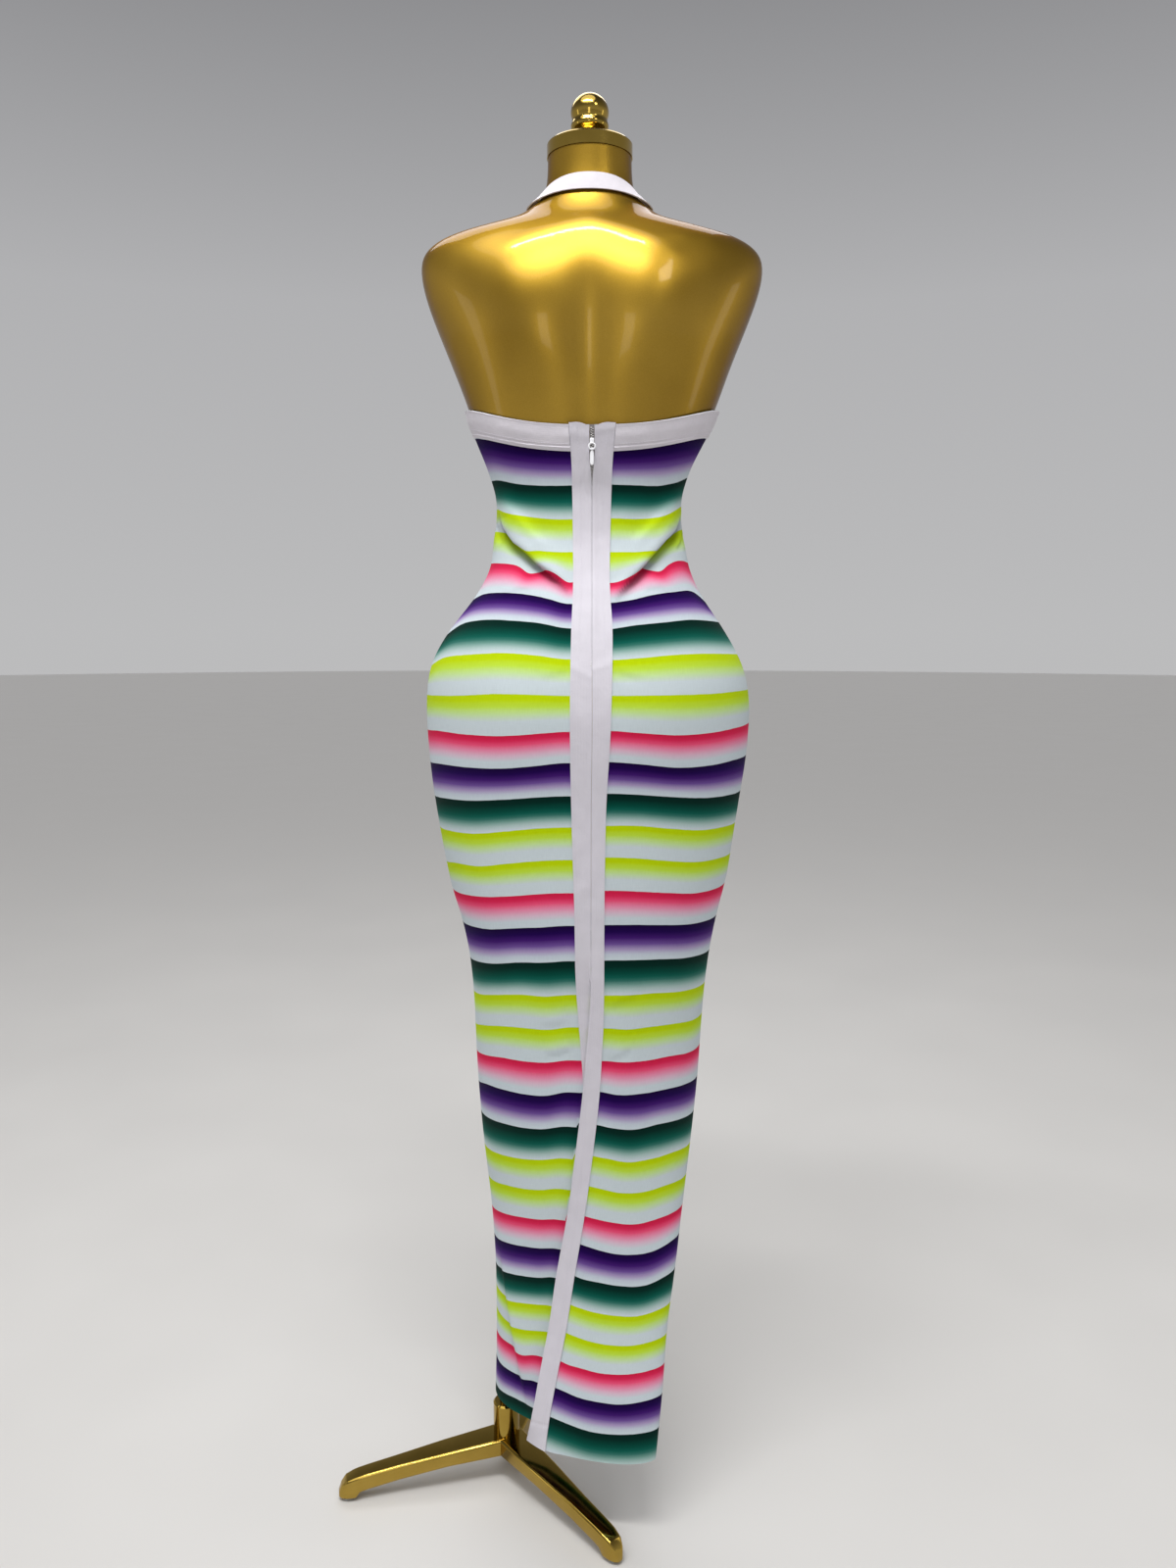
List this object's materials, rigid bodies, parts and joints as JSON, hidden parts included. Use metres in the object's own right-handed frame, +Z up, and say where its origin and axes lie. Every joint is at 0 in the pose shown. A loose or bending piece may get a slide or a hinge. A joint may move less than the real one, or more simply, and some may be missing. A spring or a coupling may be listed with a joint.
{
  "type": "bodycon dress on a dress form",
  "caption": "Striped halter-neck bodycon maxi dress with a centre-back zip and a back vent, on a gold limbless dress form with a brass pole, legs and neck cap.",
  "frame": {"origin": "The middle of the whole object's box seen from above, at the floor.", "axes": "+Z is up. The back of the dress, with the zip, faces +Y, and the wearer's left side is +X. Metres."},
  "size_m": [0.5144, 0.3708, 1.6805],
  "materials": {
    "striped_knit": "stretch knit with level ombre stripes in purple, green, lime and pink on a pale ground",
    "white_knit": "smooth white knit",
    "zip_plastic": "white tape with fine silvery teeth",
    "zip_metal": "white gloss enamel",
    "gold_lacquer": "metallic gold lacquer with a soft gloss",
    "polished_brass": "mirror polished",
    "clear_pad": "clear soft plastic"
  },
  "bodies": {
    "dress_on_form": {"front_panel": "striped_knit", "back_panel_left": "striped_knit", "back_panel_right": "striped_knit", "back_strip_left": "white_knit", "back_strip_right": "white_knit", "edge_band_left": "white_knit", "edge_band_right": "white_knit", "armhole_band_left": "white_knit", "armhole_band_right": "white_knit", "neck_band": "white_knit", "zip_chain": "zip_plastic", "zip_slider": "zip_metal", "form_body": "gold_lacquer", "form_base_plate": "gold_lacquer", "neck_cap": "polished_brass", "finial": "polished_brass", "pole": "polished_brass", "pole_collar": "polished_brass", "base_hub": "polished_brass", "base_leg_1": "polished_brass", "base_leg_2": "polished_brass", "base_leg_3": "polished_brass", "base_foot_1": "clear_pad", "base_foot_2": "clear_pad", "base_foot_3": "clear_pad"},
    "pull_tab": {"zip_pull": "zip_metal"}
  },
  "joints": [
    {"name": "pull_tab_hinge", "type": "hinge", "parent": "dress_on_form", "child": "pull_tab", "pos_m": [-0.06259, 0.12839, 1.28211], "axis": [1, 0, 0], "range_deg": [0, 150]}
  ]
}
